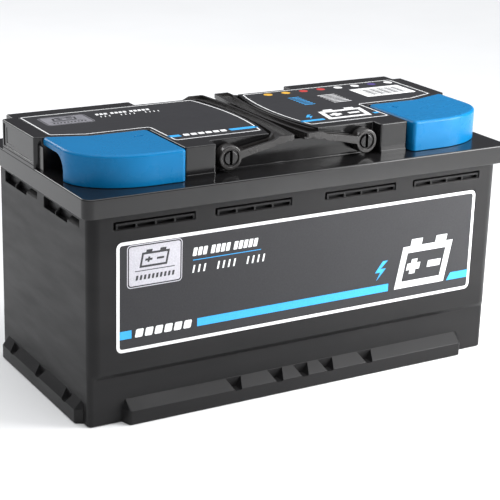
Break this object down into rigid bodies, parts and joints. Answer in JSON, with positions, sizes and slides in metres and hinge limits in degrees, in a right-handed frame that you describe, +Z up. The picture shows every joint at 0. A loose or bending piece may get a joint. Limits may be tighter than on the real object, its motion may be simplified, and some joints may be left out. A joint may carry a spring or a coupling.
{
  "type": "leisure battery",
  "caption": "Sealed lead-acid leisure battery: long black case with foot ledges, lid with folding carry handles, lift-off terminal covers, plate cells and vent valves inside.",
  "frame": {"origin": "centre of the footprint, on the surface the battery stands on", "axes": "+X along the case towards the positive end, +Y from the labelled front to the rear, +Z up"},
  "size_m": [0.353, 0.175, 0.19],
  "materials": {
    "case_black": "satin moulded polypropylene, near black",
    "lid_black": "semi-gloss moulded polypropylene, near black",
    "handle_black": "satin, slightly warm black",
    "cover_blue": "satin-gloss sky blue",
    "label_film": "printed film, dark grey with a white outline and blue stripes",
    "lead": "dull cast lead",
    "positive_plate": "matte brown lead dioxide paste",
    "negative_plate": "matte grey spongy lead",
    "glass_mat": "white glass fibre mat",
    "inner_plastic": "satin moulded polypropylene",
    "valve_rubber": "soft black rubber",
    "arrestor_frit": "porous sintered disc"
  },
  "bodies": {
    "housing": {"case": "case_black", "lid": "lid_black", "terminal_negative": "lead", "terminal_positive": "lead", "pivot_pin_front_left": "lid_black", "pivot_pin_rear_left": "lid_black", "pivot_pin_front_right": "lid_black", "pivot_pin_rear_right": "lid_black", "label_front": "label_film", "label_top_left": "label_film", "label_top_right": "label_film", "inner_lid": "inner_plastic", "flame_arrestor": "arrestor_frit", "riser_negative": "lead", "riser_positive": "lead", "cell_connector_1": "lead", "cell_connector_2": "lead", "cell_connector_3": "lead", "cell_connector_4": "lead", "cell_connector_5": "lead", "positive_plates_cell_1": "positive_plate", "negative_plates_cell_1": "negative_plate", "glass_mat_cell_1": "glass_mat", "positive_plates_cell_2": "positive_plate", "negative_plates_cell_2": "negative_plate", "glass_mat_cell_2": "glass_mat", "positive_plates_cell_3": "positive_plate", "negative_plates_cell_3": "negative_plate", "glass_mat_cell_3": "glass_mat", "positive_plates_cell_4": "positive_plate", "negative_plates_cell_4": "negative_plate", "glass_mat_cell_4": "glass_mat", "positive_plates_cell_5": "positive_plate", "negative_plates_cell_5": "negative_plate", "glass_mat_cell_5": "glass_mat", "positive_plates_cell_6": "positive_plate", "negative_plates_cell_6": "negative_plate", "glass_mat_cell_6": "glass_mat", "valve_cap_1": "valve_rubber", "valve_cap_2": "valve_rubber", "valve_cap_3": "valve_rubber", "valve_cap_4": "valve_rubber", "valve_cap_5": "valve_rubber", "valve_cap_6": "valve_rubber"},
    "handle_left": {"handle_left": "handle_black"},
    "handle_right": {"handle_right": "handle_black"},
    "terminal_cover_left": {"terminal_cover_left": "cover_blue"},
    "terminal_cover_right": {"terminal_cover_right": "cover_blue"}
  },
  "joints": [
    {"name": "handle_left_hinge", "type": "hinge", "parent": "housing", "child": "handle_left", "pos_m": [-0.057, 0, 0.1778], "axis": [0, -1, 0], "range_deg": [0, 92]},
    {"name": "handle_right_hinge", "type": "hinge", "parent": "housing", "child": "handle_right", "pos_m": [0.057, 0, 0.1778], "axis": [0, 1, 0], "range_deg": [0, 92]},
    {"name": "cover_left_lift", "type": "slide", "parent": "housing", "child": "terminal_cover_left", "axis": [0, 0, 1], "range_m": [0, 0.03]},
    {"name": "cover_right_lift", "type": "slide", "parent": "housing", "child": "terminal_cover_right", "axis": [0, 0, 1], "range_m": [0, 0.03]}
  ]
}
